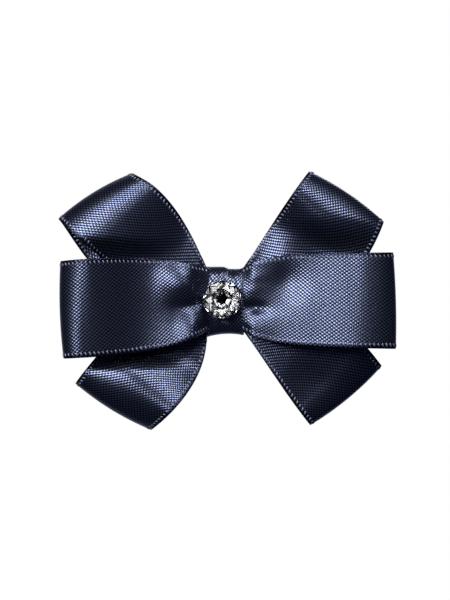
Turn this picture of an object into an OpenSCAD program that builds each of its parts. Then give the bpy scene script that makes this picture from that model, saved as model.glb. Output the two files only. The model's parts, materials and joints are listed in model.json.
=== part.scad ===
// Hair bow. Three satin ribbons are looped, laid over each other and gathered with thread.
// A narrower ribbon is wrapped round the gathers and round the arm of a sprung metal clip,
// and a foil-backed stone is glued on its front.
// X runs along the bow, Z is up and the front faces -Y. The origin is the point where the
// clip grips the hair, between its jaws behind the knot. Millimetres throughout.

/* [Ribbons] */
// Width of the looped ribbons
ribbon_w = 22; // [19:0.5:26]
// Thickness of one ribbon layer with its selvage
ribbon_t = 0.3; // [0.2:0.05:0.35]
// Distance from the knot's centre to the fold of a front loop
front_reach = 37.8; // [32:0.1:46]
// Sideways distance from the knot's centre to the fold of a crossed loop
cross_reach = 27.7; // [23:0.1:33]
// Height of a crossed loop's fold above or below the knot's centre
cross_rise = 23.5; // [20:0.1:28]
// Depth of a loop from its front layer to its back layer
loop_depth = 8; // [6:0.1:8.2]
// Length of the rounded nose in which a layer turns back
nose_l = 5; // [4:0.1:7]

/* [Knot] */
// Height of the gathered ribbons inside the knot
gather_h = 14.4; // [12:0.1:17]
// Distance between neighbouring ribbon layers inside the knot
layer_pitch = 0.75; // [0.6:0.05:0.8]
// Width of the ribbon that is wrapped round the knot
wrap_w = 8.4; // [6:0.1:10]
// Thickness of the wrapped ribbon
wrap_t = 0.3; // [0.2:0.05:0.4]
// Length over which the wrap's two ends lie on each other
wrap_lap = 6.5; // [4:0.1:7]
// Diameter of the gathering thread
thread_d = 0.3; // [0.2:0.05:0.4]
// Number of thread turns
thread_turns = 4; // [2:1:5]
// Thickness of the glue between the ribbons and the clip
seat_glue_t = 0.45; // [0.4:0.05:0.8]
// Thickness of the glue between the wrap's two ends
lap_glue_t = 0.1; // [0.05:0.05:0.15]
// Clearance between neighbouring pieces of the knot
knot_gap = 0.05; // [0.02:0.01:0.1]

/* [Stone] */
// Diameter of the stone's girdle
stone_d = 8.7; // [7:0.1:9.5]
// Sideways distance of the stone from the knot's centre
stone_x = -0.65; // [-1:0.05:1]
// Diameter of the flat table in front
table_d = 5; // [4:0.1:6]
// Diameter of the flat culet behind
culet_d = 2.3; // [1.5:0.1:3]
// Height of the crown in front of the girdle
crown_h = 1.1; // [0.8:0.1:1.6]
// Thickness of the girdle
girdle_h = 0.25; // [0.2:0.05:0.4]
// Depth of the pavilion behind the girdle
pavilion_h = 1.9; // [1.4:0.1:2.6]
// Thickness of the reflecting foil
foil_t = 0.1; // [0.05:0.01:0.2]
// Thickness of the glue under the culet
bed_t = 0.3; // [0.2:0.05:0.6]
// Height of the glue collar round the culet
bed_h = 1; // [0.8:0.1:1.4]
// Diameter of the glue bed
bed_d = 5.6; // [4.5:0.1:6.5]

/* [Clip] */
// Width of the clip's arm
clip_w = 8; // [7:0.1:9]
// Thickness of the sheet steel
sheet_t = 0.7; // [0.5:0.05:0.8]
// Distance from the knot's centre to the clip's tip
tip_x = 24; // [20:0.5:28]
// Distance from the knot's centre to the end of the press tail
tail_x = 21; // [19:0.5:24]
// Distance from the knot's centre to the hinge pin
hinge_x = 10; // [9:0.1:12]
// Distance from the arm's inner face to the pin's centre
hinge_h = 3.6; // [3.2:0.1:4.2]
// Diameter of the hinge pin
pin_d = 1.6; // [1.2:0.1:1.8]
// Radial running clearance of the jaw on the pin
pin_gap = 0.05; // [0.02:0.01:0.08]
// Diameter of the rivet heads
head_d = 2.8; // [2.2:0.1:3.2]
// Height of the rivet heads
head_h = 0.4; // [0.3:0.05:0.6]
// Radius of the ears round the pin
ear_r = 2.3; // [2:0.1:2.6]
// Side clearance between the jaw and the arm's ears
ear_gap = 0.15; // [0.1:0.05:0.3]
// Distance of the press tail's end from the arm's inner face
tail_h = 9.3; // [8.5:0.1:10]
// Length of one jaw tooth
tooth_l = 1.8; // [1.4:0.1:2.2]
// Depth of the jaw teeth
tooth_h = 0.85; // [0.5:0.05:1]
// Number of teeth on each side of the jaw
teeth = 6; // [4:1:6]
// Distance of the closed teeth from the arm
tooth_gap = 0.15; // [0.1:0.05:0.3]
// Diameter of the spring wire
wire_d = 0.7; // [0.5:0.05:0.8]
// Radius of the spring's coil to the wire's centre
coil_r = 1.5; // [1.4:0.05:1.7]
// Full turns of the spring's coil, with a half turn more
coil_turns = 3; // [2:1:4]

/* [Hidden] */

// Depths of the knot, from the hair plane at y = 0 towards the front
arm_y = -(2 * wrap_t + lap_glue_t + knot_gap + 0.15);
arm_front = arm_y - sheet_t;
stack_back = arm_front - seat_glue_t;
rising_y = stack_back - ribbon_t / 2 - layer_pitch / 2;
falling_y = rising_y - 2 * layer_pitch;
front_y = falling_y - 2 * layer_pitch;
stack_front = front_y - layer_pitch / 2 - ribbon_t / 2;
thread_z = gather_h / 2 + knot_gap + thread_d / 2;
thread_front = stack_front - knot_gap - thread_d / 2;
thread_back = stack_back + knot_gap + thread_d / 2;
wrap_z = thread_z + thread_d / 2 + knot_gap;
wrap_inner_front = thread_front - thread_d / 2 - knot_gap;
wrap_front = wrap_inner_front - wrap_t;
wrap_back = arm_y + knot_gap + wrap_t;

// Where the loops leave the knot
knot_x = wrap_w / 2 + 0.1;

// The loops. Each row holds: side; hand-tied offset of the fold's centre; tilt of the fold
// from its lower to its upper corner; share of the ribbon's width that the fold shows; bow of
// the fold; then for the upper and the lower selvage the handles at the knot and at the
// fold; and how far the back layer slips out beside the front layer.
FRONT_LEFT = [-1, [0.7, -2.4], 91.8, 1.00, 0.9,
              [[-9.8, 2.4], [12.9, 1.2]], [[-7.8, -4.8], [12.2, 0.6]], [0, 0]];
FRONT_RIGHT = [1, [0.8, -0.3], 91.6, 0.99, 0.6,
               [[5.8, 3.8], [-18.9, -0.4]], [[5.8, -3.6], [-19.5, 0.5]], [0, 0]];
UPPER_LEFT = [-1, [-2, 0.2], 31.6, 0.90, 0.9,
              [[-3.8, 8.8], [8.6, -3.9]], [[-9.8, 3.2], [11.5, -10.5]], [-0.8, -2.2]];
UPPER_RIGHT = [1, [0.2, 0.1], 145.8, 0.93, 1.3,
               [[4.8, 6.8], [-6.1, -7.9]], [[11.8, 2.2], [-6.5, -17.9]], [0, 0]];
LOWER_LEFT = [-1, [2.1, -1.1], 148.5, 0.92, 0.3,
              [[-9.8, -2.2], [8.5, 11.3]], [[0.6, -7.8], [8.7, 6.9]], [0, 0]];
LOWER_RIGHT = [1, [0.1, 1.4], 39.6, 0.96, 0.8,
               [[10.8, -1.2], [-8.6, 11.3]], [[5.3, -7.3], [-5.8, 7.3]], [0, 0]];

// Depth of each ribbon's loops: middle plane part way out and at the fold, half the distance
// between the layers part way out, and the share of the loop's length where that is reached.
// The crossed loops stay flat until they are clear of each other and of the clip's arm.
// A lower fold clears them later.
layer_room = 0.6 * layer_pitch;
clear_share = 0.5341 * ribbon_w / cross_rise;
fold_half = loop_depth / 2;
front_half = 0.85 * fold_half;
front_depths = [front_y - front_half, front_y + layer_room - 0.1 - fold_half, front_half, 0.42];
cross_fold_y = front_y + layer_room + ribbon_t + 0.2 + fold_half;
falling_depths = [falling_y - 0.1, cross_fold_y, layer_room, clear_share];
rising_depths = [rising_y - 0.1, cross_fold_y, layer_room, clear_share];

run_steps = 9;      // rings along one layer
nose_steps = 8;     // rings round the nose
cross_steps = 8;    // strips across the ribbon

hinge_y = arm_y + hinge_h;
jaw_half_w = clip_w / 2 - sheet_t - ear_gap;
jaw_tip_x = tip_x - 2;
tooth_top = arm_y + tooth_gap;
$fn = 48;

function mix(a, b, k) = a + (b - a) * k;
function ease(a, b, x) = let (u = min(max((x - a) / (b - a), 0), 1)) u * u * (3 - 2 * u);
function bezier(a, b, c, d, t) =
    pow(1 - t, 3) * a + 3 * t * pow(1 - t, 2) * b + 3 * t * t * (1 - t) * c + pow(t, 3) * d;
function unit(v) = v / norm(v);

// Centre of a loop's fold, seen from the front
function fold_centre(loop, upright) =
    let (reach = upright == 0 ? front_reach : cross_reach)
    [loop[0] * reach, upright * cross_rise] + loop[1];

// One selvage point: from the knot to the fold, end is 1 for the upper selvage, -1 for the lower
function selvage(loop, upright, end, p) =
    let (knot = [loop[0] * knot_x, end * gather_h / 2],
         across = loop[3] * ribbon_w / 2 * [cos(loop[2]), sin(loop[2])],
         corner = fold_centre(loop, upright) + end * across,
         handles = end > 0 ? loop[5] : loop[6])
    bezier(knot, knot + handles[0], corner + handles[1], corner, p);

// Point of a layer seen from the front: p runs along the loop, v across it, k from the
// front layer at -1 to the back layer at 1
function layer_plan(loop, upright, p, v, k) =
    let (outward = loop[2] - loop[0] * 90,
         bow = loop[4] * (1 - v * v) * pow(p, 4),
         slip = (k + 1) / 2 * 4 * p * (1 - p))
    mix(selvage(loop, upright, -1, p), selvage(loop, upright, 1, p), (v + 1) / 2)
    + bow * [cos(outward), sin(outward)] + slip * loop[7];

// Depth of that point
function layer_depth(knot_y, depths, p, k) =
    let (out = ease(0, depths[3], p), far = ease(depths[3], 0.95, p),
         middle = mix(mix(knot_y, depths[0], out), depths[1], far),
         half = mix(mix(layer_pitch / 2, depths[2], out), fold_half, far))
    middle + k * half;

function ribbon_point(loop, upright, knot_y, depths, station, v) =
    let (p = station[0], k = station[1], plan = layer_plan(loop, upright, p, v, k))
    [plan[0], layer_depth(knot_y, depths, p, k), plan[1]];

// Stations round one loop: out along the front layer, round the nose, back along the rear one
function loop_stations(nose) = concat(
    [for (i = [0:run_steps - 1]) [(1 - nose) * i / run_steps, -1]],
    [for (i = [0:nose_steps]) let (a = 180 * i / nose_steps) [1 - nose + nose * sin(a), -cos(a)]],
    [for (i = [run_steps - 1:-1:0]) [(1 - nose) * i / run_steps, 1]]);

// All rings of a ribbon: the right loop, then the left loop in the opposite sense
function ribbon_rings(right, left, uprights, knot_y, depths) =
    let (reach = uprights[0] == 0 ? front_reach : norm([cross_reach, cross_rise]),
         stations = loop_stations(nose_l / (reach - knot_x)), n = len(stations))
    concat(
        [for (s = stations) [for (j = [0:cross_steps])
            ribbon_point(right, uprights[0], knot_y, depths, s, 2 * j / cross_steps - 1)]],
        [for (i = [n - 1:-1:0]) [for (j = [0:cross_steps])
            ribbon_point(left, uprights[1], knot_y, depths, stations[i], 2 * j / cross_steps - 1)]]);

// A closed band of the given thickness round a ring of cross strips
module band(rings, thickness) {
    n = len(rings);
    m = len(rings[0]);
    normals = [for (i = [0:n - 1]) [for (j = [0:m - 1])
        let (along = rings[(i + 1) % n][j] - rings[(i + n - 1) % n][j],
             across = rings[i][min(j + 1, m - 1)] - rings[i][max(j - 1, 0)])
        unit(cross(along, across))]];
    function skin(side) =
        [for (i = [0:n - 1], j = [0:m - 1]) rings[i][j] + side * thickness / 2 * normals[i][j]];
    function at(side, i, j) = side * n * m + (i % n) * m + j;
    function quad(a, b, c, d) = [[a, b, c], [a, c, d]];
    faces = [for (i = [0:n - 1]) each concat(
        [for (j = [0:m - 2]) each concat(
            quad(at(0, i, j), at(0, i + 1, j), at(0, i + 1, j + 1), at(0, i, j + 1)),
            quad(at(1, i, j), at(1, i, j + 1), at(1, i + 1, j + 1), at(1, i + 1, j)))],
        quad(at(0, i, 0), at(1, i, 0), at(1, i + 1, 0), at(0, i + 1, 0)),
        quad(at(0, i, m - 1), at(0, i + 1, m - 1), at(1, i + 1, m - 1), at(1, i, m - 1)))];
    polyhedron(points = concat(skin(1), skin(-1)), faces = faces);
}

// A round wire swept along points that never run along the direction up
module wire(points, diameter, sides, up) {
    n = len(points);
    rings = [for (i = [0:n - 1])
        let (ahead = unit(points[min(i + 1, n - 1)] - points[max(i - 1, 0)]),
             out = unit(cross(ahead, up)), over = cross(out, ahead))
        for (k = [0:sides - 1]) let (a = 360 * k / sides)
            points[i] + diameter / 2 * (cos(a) * out + sin(a) * over)];
    skin = [for (i = [0:n - 2], k = [0:sides - 1])
        let (a = i * sides + k, b = i * sides + (k + 1) % sides)
        each [[a, b, b + sides], [a, b + sides, a + sides]]];
    start = [[for (k = [sides - 1:-1:0]) k]];
    finish = [[for (k = [0:sides - 1]) (n - 1) * sides + k]];
    polyhedron(points = rings, faces = concat(skin, start, finish));
}

// Turns a shape drawn in x and y, and raised in z, to face the front
module facing_front(y) translate([0, y, 0]) rotate([90, 0, 0]) children();

// A strip with two round ends, from x = -back to x = front, seen from the front
module round_strip(back, front, width) {
    translate([-back + width / 2, -width / 2]) square([back + front - width, width]);
    for (x = [-back + width / 2, front - width / 2]) translate([x, 0]) circle(d = width);
}

module front_ribbon() color([0.10, 0.11, 0.22])
    band(ribbon_rings(FRONT_RIGHT, FRONT_LEFT, [0, 0], front_y, front_depths), ribbon_t);

module falling_ribbon() color([0.09, 0.10, 0.20])
    band(ribbon_rings(LOWER_RIGHT, UPPER_LEFT, [-1, 1], falling_y, falling_depths), ribbon_t);

module rising_ribbon() color([0.08, 0.09, 0.18])
    band(ribbon_rings(UPPER_RIGHT, LOWER_LEFT, [1, -1], rising_y, rising_depths), ribbon_t);

// Turns of thread that pull the gathers together
module gathering_thread() color([0.12, 0.12, 0.20]) {
    corner_r = 0.3;
    turn_points = 24;
    middle_y = (thread_front + thread_back) / 2;
    straight_z = thread_z - corner_r;
    straight_y = (thread_back - thread_front) / 2 - corner_r;
    points = [for (i = [0:thread_turns * turn_points])
        let (a = 360 * i / turn_points + 7.5,
             x = thread_d * 1.3 * (i / turn_points - thread_turns / 2))
        [x, middle_y + corner_r * cos(a) + straight_y * sign(cos(a)),
         corner_r * sin(a) + straight_z * sign(sin(a))]];
    wire(points, thread_d, 8, [1, 0, 0]);
}

// Outline of the wrap round the gathers and the clip's arm, drawn as [-z, y]
module wrap_outline() {
    shoulder = 0.45;
    arm_z = clip_w / 2 + knot_gap;
    offset(r = shoulder) offset(delta = -shoulder)
        polygon([[-wrap_z, wrap_inner_front], [wrap_z, wrap_inner_front],
                 [wrap_z, thread_back + 0.1], [arm_z + 0.8, arm_y + knot_gap],
                 [-arm_z - 0.8, arm_y + knot_gap], [-wrap_z, thread_back + 0.1]]);
}

// The narrow ribbon round the knot, with its outer end lapped over its inner end behind
module centre_wrap() color([0.10, 0.11, 0.22])
    rotate([0, 90, 0]) translate([0, 0, -wrap_w / 2]) linear_extrude(wrap_w) {
        lap_y = wrap_back + lap_glue_t;
        difference() {
            offset(r = wrap_t) wrap_outline();
            wrap_outline();
        }
        translate([-wrap_lap / 2, lap_y]) square([wrap_lap, wrap_t]);
        translate([wrap_lap / 2 - wrap_t, wrap_back - wrap_t / 2])
            square([wrap_t, lap_glue_t + wrap_t]);
    }

module wrap_glue() color([0.85, 0.85, 0.78])
    translate([-wrap_w / 2 + 1, wrap_back, -wrap_lap / 2 + wrap_t + knot_gap])
        cube([wrap_w - 2, lap_glue_t, wrap_lap - wrap_t - 1]);

// Glue that seats the gathers on the clip's arm, grooved where the thread passes
module seat_glue() color([0.88, 0.87, 0.80]) {
    pad_z = clip_w * 0.8;
    groove_w = thread_d * 1.3 * thread_turns + thread_d + 2 * knot_gap;
    difference() {
        facing_front(arm_front) linear_extrude(seat_glue_t)
            square([wrap_w - 1, pad_z], center = true);
        translate([-groove_w / 2, stack_back - 1, -pad_z])
            cube([groove_w, 1 + 2 * knot_gap + thread_d, 2 * pad_z]);
    }
}

// Back of the stone, grown by the given amount, with the culet facing the knot
module pavilion(grow) translate([stone_x, 0, 0]) hull() {
    culet_y = wrap_front - bed_t - foil_t;
    facing_front(culet_y + grow) linear_extrude(0.01) circle(d = culet_d + 2 * grow, $fn = 8);
    facing_front(culet_y - pavilion_h) linear_extrude(0.01)
        circle(d = stone_d - 2 * foil_t + 2 * grow, $fn = 32);
}

module stone_glue() color([0.90, 0.90, 0.86])
    difference() {
        translate([stone_x, 0, 0]) facing_front(wrap_front)
            cylinder(h = bed_h, d1 = bed_d + 0.6, d2 = bed_d - 0.4);
        pavilion(foil_t);
    }

module stone_foil() color([0.80, 0.80, 0.82])
    difference() {
        pavilion(foil_t);
        pavilion(0);
        translate([stone_x, 0, 0]) facing_front(wrap_front - bed_t - foil_t - pavilion_h + 0.02)
            cylinder(h = 1, d = stone_d + 1);
    }

module stone() color([0.92, 0.94, 0.97]) {
    girdle_y = wrap_front - bed_t - foil_t - pavilion_h;
    pavilion(0);
    translate([stone_x, 0, 0]) facing_front(girdle_y) linear_extrude(girdle_h)
        circle(d = stone_d, $fn = 32);
    translate([stone_x, 0, 0]) hull() {
        facing_front(girdle_y - girdle_h) linear_extrude(0.01) circle(d = stone_d, $fn = 32);
        facing_front(girdle_y - girdle_h - crown_h) linear_extrude(0.01) circle(d = table_d, $fn = 8);
    }
}

// Two ears that carry the pin, on both sides of the clip, in x and y
module ears(outer_z, root_y) for (z = [-outer_z, outer_z - sheet_t])
    translate([0, 0, z]) linear_extrude(sheet_t) {
        translate([-hinge_x, hinge_y]) circle(r = ear_r);
        translate([-hinge_x - ear_r, min(root_y, hinge_y)])
            square([2 * ear_r, abs(hinge_y - root_y)]);
    }

// The flat arm of the clip, which lies against the back of the knot
module clip_arm() color([0.75, 0.76, 0.78])
    difference() {
        union() {
            facing_front(arm_y) linear_extrude(sheet_t) round_strip(tail_x, tip_x, clip_w);
            ears(clip_w / 2, arm_front);
        }
        translate([-hinge_x, hinge_y, -clip_w]) cylinder(h = 2 * clip_w, d = pin_d);
    }

// Inner face of the jaw's plate in x and y: press tail, knee at the hinge, tip
function jaw_face() = [[-tail_x, arm_y + tail_h], [-hinge_x + 1, hinge_y + coil_r + wire_d / 2 + 0.2],
                       [jaw_tip_x, tooth_top + 1.1]];

module clip_jaw() color([0.72, 0.73, 0.75]) {
    face = jaw_face();
    teeth_end = jaw_tip_x - 2;
    teeth_start = teeth_end - teeth * tooth_l;
    rise = (face[2][1] - face[1][1]) / (face[2][0] - face[1][0]);
    plate_at_teeth = face[2][1] + rise * (teeth_start - face[2][0]);
    lip_depth = 1;
    difference() {
        union() {
            // Plate, with its tail and tip rounded
            intersection() {
                translate([0, 0, -jaw_half_w]) linear_extrude(2 * jaw_half_w)
                    polygon(concat(face, [for (i = [2:-1:0]) face[i] + [0, sheet_t + 0.03]]));
                translate([0, 20, 0]) rotate([90, 0, 0]) linear_extrude(40)
                    round_strip(tail_x, jaw_tip_x, 2 * jaw_half_w);
            }
            // Lips along both sides, toothed towards the tip
            for (z = [-jaw_half_w, jaw_half_w - sheet_t]) translate([0, 0, z]) linear_extrude(sheet_t)
                polygon(concat(
                    [face[1] + [0, sheet_t / 2], face[1] - [0, lip_depth],
                     [teeth_start - 3, plate_at_teeth + rise * -3 - lip_depth]],
                    [for (i = [0:teeth - 1]) each [
                        [teeth_start + i * tooth_l, tooth_top + tooth_h],
                        [teeth_start + (i + 0.65) * tooth_l, tooth_top]]],
                    [[teeth_end, tooth_top + tooth_h], [teeth_end, plate_at_teeth
                        + rise * (teeth_end - teeth_start) + sheet_t / 2]]));
            ears(jaw_half_w, face[1][1] + sheet_t / 2);
        }
        translate([-hinge_x, hinge_y, -clip_w]) cylinder(h = 2 * clip_w, d = pin_d + 2 * pin_gap);
    }
}

// The rivet that the jaw turns on
module clip_pin() color([0.60, 0.61, 0.63])
    translate([-hinge_x, hinge_y, 0]) {
        cylinder(h = clip_w + head_h, d = pin_d, center = true);
        for (s = [-1, 1]) scale([1, 1, s]) translate([0, 0, clip_w / 2])
            cylinder(h = head_h, d1 = head_d, d2 = head_d * 0.7);
    }

// Torsion spring round the pin, with one leg on the arm's tail and one on the jaw's tail
module clip_spring() color([0.55, 0.56, 0.58]) {
    step = 30;
    face = jaw_face();
    leg_x = -tail_x + 2;
    slope = (face[1][1] - face[0][1]) / (face[1][0] - face[0][0]);
    jaw_leg_y = face[0][1] + slope * (leg_x - face[0][0]) - wire_d / 2 - 0.15;
    arm_leg_y = arm_y + wire_d / 2 + knot_gap;
    sweep_angle = 360 * coil_turns + 180;
    coil_l = coil_turns * (wire_d + 0.12);
    coil = [for (a = [0:step:sweep_angle])
        [-hinge_x + coil_r * cos(90 - a), hinge_y + coil_r * sin(90 - a),
         coil_l * (a / sweep_angle - 0.5)]];
    wire(concat([[leg_x, jaw_leg_y, -coil_l / 2]], coil, [[leg_x, arm_leg_y, coil_l / 2]]),
         wire_d, 8, [0, 0, 1]);
}

front_ribbon();
falling_ribbon();
rising_ribbon();
gathering_thread();
centre_wrap();
wrap_glue();
seat_glue();
stone_glue();
stone_foil();
stone();
clip_arm();
clip_jaw();
clip_pin();
clip_spring();
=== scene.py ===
import json
import math

import bmesh
import bpy
import numpy as np
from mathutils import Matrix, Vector


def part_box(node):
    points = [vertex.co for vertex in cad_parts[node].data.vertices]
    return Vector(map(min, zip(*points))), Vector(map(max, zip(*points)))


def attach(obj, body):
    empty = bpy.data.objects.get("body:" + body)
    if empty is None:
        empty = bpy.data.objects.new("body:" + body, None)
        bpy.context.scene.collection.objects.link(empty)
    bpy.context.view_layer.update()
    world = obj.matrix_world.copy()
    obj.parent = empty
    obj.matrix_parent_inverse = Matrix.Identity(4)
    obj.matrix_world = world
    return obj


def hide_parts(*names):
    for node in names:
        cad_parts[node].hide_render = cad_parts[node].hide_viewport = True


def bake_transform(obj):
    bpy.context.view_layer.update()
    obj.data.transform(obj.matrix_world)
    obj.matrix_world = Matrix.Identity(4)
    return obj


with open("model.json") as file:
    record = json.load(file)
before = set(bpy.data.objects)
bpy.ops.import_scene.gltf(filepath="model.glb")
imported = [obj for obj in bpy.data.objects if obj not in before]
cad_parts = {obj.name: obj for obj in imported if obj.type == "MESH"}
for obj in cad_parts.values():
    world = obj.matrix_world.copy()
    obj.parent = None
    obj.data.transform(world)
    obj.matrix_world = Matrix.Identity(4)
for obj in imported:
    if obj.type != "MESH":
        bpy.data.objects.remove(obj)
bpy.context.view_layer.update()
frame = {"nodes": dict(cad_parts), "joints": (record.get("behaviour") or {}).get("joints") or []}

# Camera, a metre in front of the bow and level with it, on a long lens so that the loops
# keep their true proportions.
MM = 0.001
scene = bpy.context.scene
FRONT_PLANE = -6 * MM
VIEW_HEIGHT = 137.4 * MM
VIEW_Z = -0.16 * MM
CAMERA_AWAY = 1.0
SENSOR = 36.0
camera = bpy.data.objects.new("camera", bpy.data.cameras.new("camera"))
camera.data.sensor_width = SENSOR
camera.data.lens = SENSOR * CAMERA_AWAY / VIEW_HEIGHT
camera.data.clip_start = 0.01
camera.location = (0, FRONT_PLANE - CAMERA_AWAY, VIEW_Z)
camera.rotation_euler = (math.radians(90), 0, 0)
scene.collection.objects.link(camera)
scene.camera = camera
scene.view_settings.view_transform = "Standard"


# Studio: a large soft box on the left, one overhead towards the right, and a weak one behind. The
# surroundings are dim in front, so that satin keeps its depth, with a pale wall behind. The camera
# sees plain white and the glass stone sees a light tent of white panels with an opening in front.
class Term:
    """An output socket that can be used in sums. Each operation adds one Math node."""

    def __init__(self, nodes, socket):
        self.nodes = nodes
        self.socket = socket

    def math(self, operation, *others):
        inputs = dict(enumerate((self,) + others))
        return self.nodes.add("ShaderNodeMath", {"operation": operation}, inputs)

    def __add__(self, other):
        return self.math("ADD", other)

    def __mul__(self, other):
        return self.math("MULTIPLY", other)

    def __sub__(self, other):
        return self.math("SUBTRACT", other)

    def __truediv__(self, other):
        return self.math("DIVIDE", other)

    def __pow__(self, other):
        return self.math("POWER", other)

    def __rsub__(self, other):
        return self.nodes.number(other).math("SUBTRACT", self)

    __radd__ = __add__
    __rmul__ = __mul__

    def sin(self):
        return self.math("SINE")

    def cos(self):
        return self.math("COSINE")

    def above(self, edge, softness):
        """0 below the edge and 1 above it, with a soft change of the given width."""
        part = (self - edge) / softness + 0.5
        return part.math("MAXIMUM", 0.0).math("MINIMUM", 1.0)


class Nodes:
    """Adds nodes to one tree. Settings are set first, then each socket gets its value or its link."""

    def __init__(self, tree):
        self.tree = tree

    def add(self, kind, settings=None, inputs=None, output=0):
        node = self.tree.nodes.new(kind)
        for name, value in (settings or {}).items():
            setattr(node, name, value)
        for key, value in (inputs or {}).items():
            if isinstance(value, Term):
                self.tree.links.new(value.socket, node.inputs[key])
            else:
                node.inputs[key].default_value = value
        return Term(self, node.outputs[output]) if node.outputs else None

    def number(self, value):
        return self.add("ShaderNodeMath", {"operation": "ADD"}, {0: value, 1: 0.0})

    def mix_colour(self, share, first, second):
        return self.add("ShaderNodeMix", {"data_type": "RGBA"}, {0: share, 6: first, 7: second}, 2)

    def part(self, vector, axis):
        return self.add("ShaderNodeSeparateXYZ", {}, {0: vector}, axis)

    def vector(self, x, y, z):
        return self.add("ShaderNodeCombineXYZ", {}, {0: x, 1: y, 2: z})

    def noise(self, place, scale, detail=2.0):
        return self.add("ShaderNodeTexNoise", {}, {"Vector": place, "Scale": scale, "Detail": detail})


WHITE = (1, 1, 1, 1)
world = bpy.data.worlds.new("studio")
world.use_nodes = True
world.node_tree.nodes.clear()
studio = Nodes(world.node_tree)
direction = studio.add("ShaderNodeTexCoord", output="Generated")
round_y = studio.part(direction, 2).math("ARCTAN2", studio.part(direction, 0))
panels = (round_y * 5 + 0.6).sin().above(-0.15, 0.3) * 0.92 + 0.08
opening = (studio.part(direction, 1) + studio.part(direction, 2) * 0.35).above(-0.64, 0.10)
seen = studio.add("ShaderNodeLightPath", output="Is Camera Ray")
through_glass = studio.add("ShaderNodeLightPath", output="Is Transmission Ray")
dim = studio.add("ShaderNodeBackground", {}, {"Color": (0.45, 0.55, 1.0, 1), "Strength": 0.04})
wall = studio.add("ShaderNodeBackground", {}, {
    "Color": (0.85, 0.88, 1.0, 1), "Strength": studio.part(direction, 1).above(0.72, 0.3) * 0.45})
dim = studio.add("ShaderNodeAddShader", {}, {0: dim, 1: wall})
tent = studio.add("ShaderNodeBackground", {}, {"Color": WHITE, "Strength": panels * opening * 1.7})
bright = studio.add("ShaderNodeBackground", {}, {"Color": WHITE, "Strength": 1.0})
sky = studio.add("ShaderNodeMixShader", {}, {0: through_glass, 1: dim, 2: tent})
sky = studio.add("ShaderNodeMixShader", {}, {0: seen, 1: sky, 2: bright})
studio.add("ShaderNodeOutputWorld", {}, {"Surface": sky})
scene.world = world


def soft_box(name, place, size, power):
    """A square white light that faces the knot."""
    box = bpy.data.lights.new(name, "AREA")
    box.size = size
    box.energy = power
    lamp = bpy.data.objects.new(name, box)
    lamp.location = place
    lamp.rotation_euler = (-Vector(place)).to_track_quat("-Z", "Y").to_euler()
    scene.collection.objects.link(lamp)


soft_box("key", (-0.55, -0.95, 0.36), 0.42, 8.0)
soft_box("overhead", (0.28, -0.72, 0.78), 0.34, 5.5)
soft_box("behind", (0.15, 1.10, 0.35), 0.50, 2.6)

FLOOR_Z = -0.125
FLOOR_SIDE = 1.6
FLOOR_BEHIND = 0.78
floor_mesh = bpy.data.meshes.new("floor")
floor_corners = [(-FLOOR_SIDE, -FLOOR_SIDE, FLOOR_Z), (FLOOR_SIDE, -FLOOR_SIDE, FLOOR_Z),
                 (FLOOR_SIDE, FLOOR_BEHIND, FLOOR_Z), (-FLOOR_SIDE, FLOOR_BEHIND, FLOOR_Z)]
floor_mesh.from_pydata(floor_corners, [], [(0, 1, 2, 3)])
floor = bpy.data.objects.new("floor", floor_mesh)
floor.visible_diffuse = False
floor.visible_glossy = False
floor.visible_transmission = False
scene.collection.objects.link(floor)


def new_material(name):
    """An empty material with its shader node: returns the material, its nodes and the shader."""
    material = bpy.data.materials.new(name)
    material.use_nodes = True
    material.node_tree.nodes.clear()
    nodes = Nodes(material.node_tree)
    shader = material.node_tree.nodes.new("ShaderNodeBsdfPrincipled")
    nodes.add("ShaderNodeOutputMaterial", {}, {"Surface": Term(nodes, shader.outputs[0])})
    return material, nodes, shader


def finish_shader(nodes, shader, **values):
    """Sets the shader's sockets, which are named with underscores here."""
    for name, value in values.items():
        socket = shader.inputs[name.replace("_", " ")]
        if isinstance(value, Term):
            nodes.tree.links.new(value.socket, socket)
        else:
            socket.default_value = value


paper, nodes, shader = new_material("pale_floor")
place = nodes.add("ShaderNodeTexCoord", output="Object")
mottle = nodes.noise(place, 9.0)
pale = nodes.mix_colour(mottle, (0.80, 0.80, 0.80, 1), (0.86, 0.86, 0.86, 1))
finish_shader(nodes, shader, Base_Color=pale, Roughness=0.9)
floor.data.materials.append(paper)


# Looped ribbons: three lengths of navy satin ribbon, each sewn into a band with a loop at both
# ends and pinched in the middle. The front one is level, the other two cross behind it.
RIBBON_W = 22.0
RIBBON_T = 0.3
KNOT_X = 4.3
GATHER_H = 14.4
FRONT_REACH = 37.8
CROSS_REACH = 27.7
CROSS_RISE = 23.5
LAYER_PITCH = 0.75
FRONT_Y = -5.575
FALLING_Y = -4.075
RISING_Y = -2.575
ALONG_STEPS = 90
NOSE_STEPS = 26
ACROSS_STEPS = 44
EDGE_STEPS = 3
KNOT_STEPS = 9
KNOT_SQUEEZE = 0.13
PLEAT_DEPTH = 0.04
PLEAT_TURNS = 19
SELVAGE_FALL = 1.3

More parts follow.
